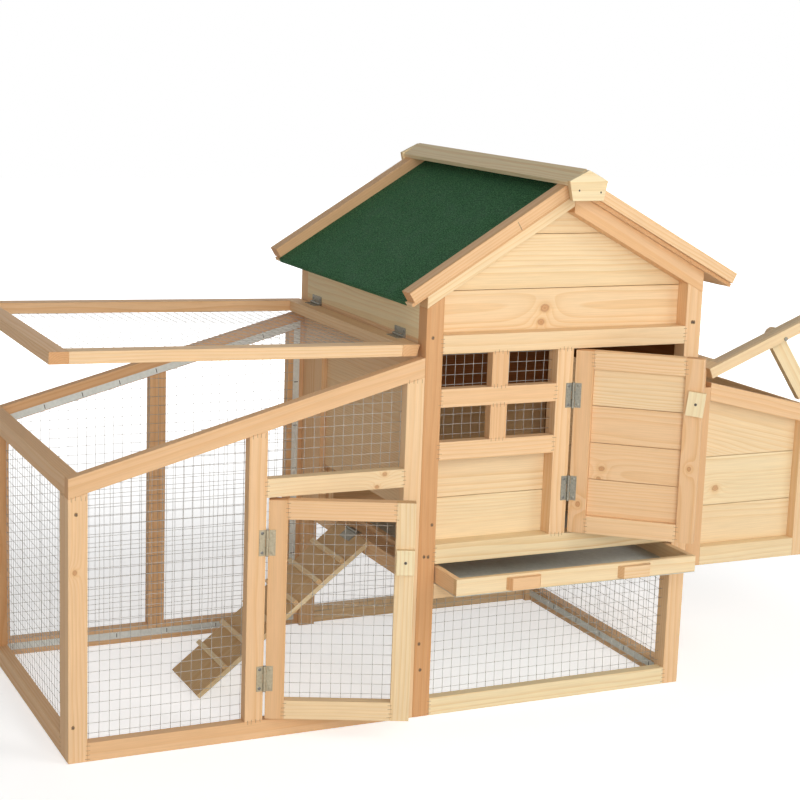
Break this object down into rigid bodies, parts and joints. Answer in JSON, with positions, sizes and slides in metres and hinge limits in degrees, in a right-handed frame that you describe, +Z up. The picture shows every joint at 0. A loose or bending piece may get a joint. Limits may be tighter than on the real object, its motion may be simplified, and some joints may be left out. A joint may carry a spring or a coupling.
{
  "type": "duck house with run",
  "caption": "Timber duck house on legs with a felted gable roof, wire run under a raised lid, side nest box, pull-out tray, hinged doors, sliding pop door and ramp.",
  "frame": {"origin": "middle of the overall box, on the ground", "axes": "+X to the nest box side, +Y to the back, +Z up"},
  "size_m": [1.6188, 0.8686, 1.0499],
  "materials": {
    "pine": "planed, untreated",
    "felt": "green mineral felt",
    "galvanised": "galvanised wire and sheet",
    "strip": "pale stapled strip",
    "clear_sheet": "clear"
  },
  "bodies": {
    "house": {"house_posts": "pine", "house_front_rails": "pine", "window_frame": "pine", "window_mesh": "galvanised", "house_front_boards": "pine", "gable_boards": "pine", "house_back_rails": "pine", "back_wall_boards": "pine", "house_side_rails": "pine", "left_wall_boards": "pine", "right_wall_boards": "pine", "eave_boards": "pine", "pop_door_guides": "pine", "tray_runners": "pine", "base_mesh": "galvanised", "rafters": "pine", "roof_decks": "pine", "roof_felts": "felt", "roof_edge_battens": "pine", "ridge_cap": "pine", "ridge_end_plates": "pine", "run_front_frame": "pine", "run_back_frame": "pine", "run_end_frame": "pine", "run_front_mesh": "galvanised", "run_back_mesh": "galvanised", "run_end_mesh": "galvanised", "mesh_edge_strips": "strip", "nest_frame": "pine", "nest_wall_boards": "pine", "nest_floor": "pine", "fixed_hinge_leaves": "galvanised", "fixed_hinge_screws": "galvanised", "hinge_pins": "galvanised", "frame_nails": "galvanised"},
    "run_lid": {"run_lid_frame": "pine", "run_lid_mesh": "galvanised", "run_lid_hinges": "galvanised"},
    "run_door": {"run_door_frame": "pine", "run_door_mesh": "galvanised", "run_door_hinges": "galvanised", "run_door_nail": "galvanised"},
    "run_button": {"run_door_button": "pine"},
    "house_door": {"house_door_frame": "pine", "house_door_boards": "pine", "house_door_hinges": "galvanised", "house_door_nail": "galvanised"},
    "house_button": {"house_door_button": "pine"},
    "tray": {"tray_boards": "pine", "tray_bottom_sheet": "galvanised", "tray_handles": "pine"},
    "pop_door": {"pop_door_panel": "pine"},
    "ramp": {"ramp_board": "pine", "ramp_cleats": "pine", "ramp_hinge": "galvanised"},
    "nest_lid": {"nest_lid_frame": "pine", "nest_lid_sheet": "clear_sheet", "nest_lid_hinges": "galvanised", "nest_prop_bolt": "galvanised"},
    "prop": {"nest_prop": "pine"}
  },
  "joints": [
    {"name": "run_lid_hinge", "type": "hinge", "parent": "house", "child": "run_lid", "pos_m": [-0.1134, 0.04429, 0.72515], "axis": [0, 1, 0], "range_deg": [-16.4, 45]},
    {"name": "run_door_hinge", "type": "hinge", "parent": "house", "child": "run_door", "pos_m": [-0.41535, -0.26951, 0.245], "axis": [0, 0, 1], "range_deg": [-95, 22.6]},
    {"name": "run_button_turn", "type": "hinge", "parent": "run_door", "child": "run_button", "pos_m": [-0.18289, -0.36356, 0.344], "axis": [-0.3843, -0.9232, 0], "range_deg": [-90, 90]},
    {"name": "house_door_hinge", "type": "hinge", "parent": "house", "child": "house_door", "pos_m": [0.20565, -0.26951, 0.522], "axis": [0, 0, 1], "range_deg": [-80, 39.2]},
    {"name": "house_button_turn", "type": "hinge", "parent": "house_door", "child": "house_button", "pos_m": [0.38869, -0.41556, 0.6167], "axis": [-0.632, -0.7749, 0], "range_deg": [-95, 85]},
    {"name": "tray_slide", "type": "slide", "parent": "house", "child": "tray", "axis": [0, -1, 0], "range_m": [-0.091, 0.32]},
    {"name": "pop_door_slide", "type": "slide", "parent": "house", "child": "pop_door", "axis": [0, 0, 1], "range_m": [-0.095, 0.085]},
    {"name": "ramp_hinge", "type": "hinge", "parent": "house", "child": "ramp", "pos_m": [-0.1123, 0.03729, 0.2918], "axis": [0, 1, 0], "range_deg": [0, 55]},
    {"name": "nest_lid_hinge", "type": "hinge", "parent": "house", "child": "nest_lid", "pos_m": [0.512, 0.04329, 0.65162], "axis": [0, -1, 0], "range_deg": [-35.8, 0]},
    {"name": "nest_prop_hinge", "type": "hinge", "parent": "nest_lid", "child": "prop", "pos_m": [0.69763, -0.22371, 0.70491], "axis": [0, -1, 0], "range_deg": [-89.5, 0]}
  ],
  "couplings": [
    {"joint": "nest_prop_hinge", "follows": "nest_lid_hinge", "ratio": 2.5}
  ]
}
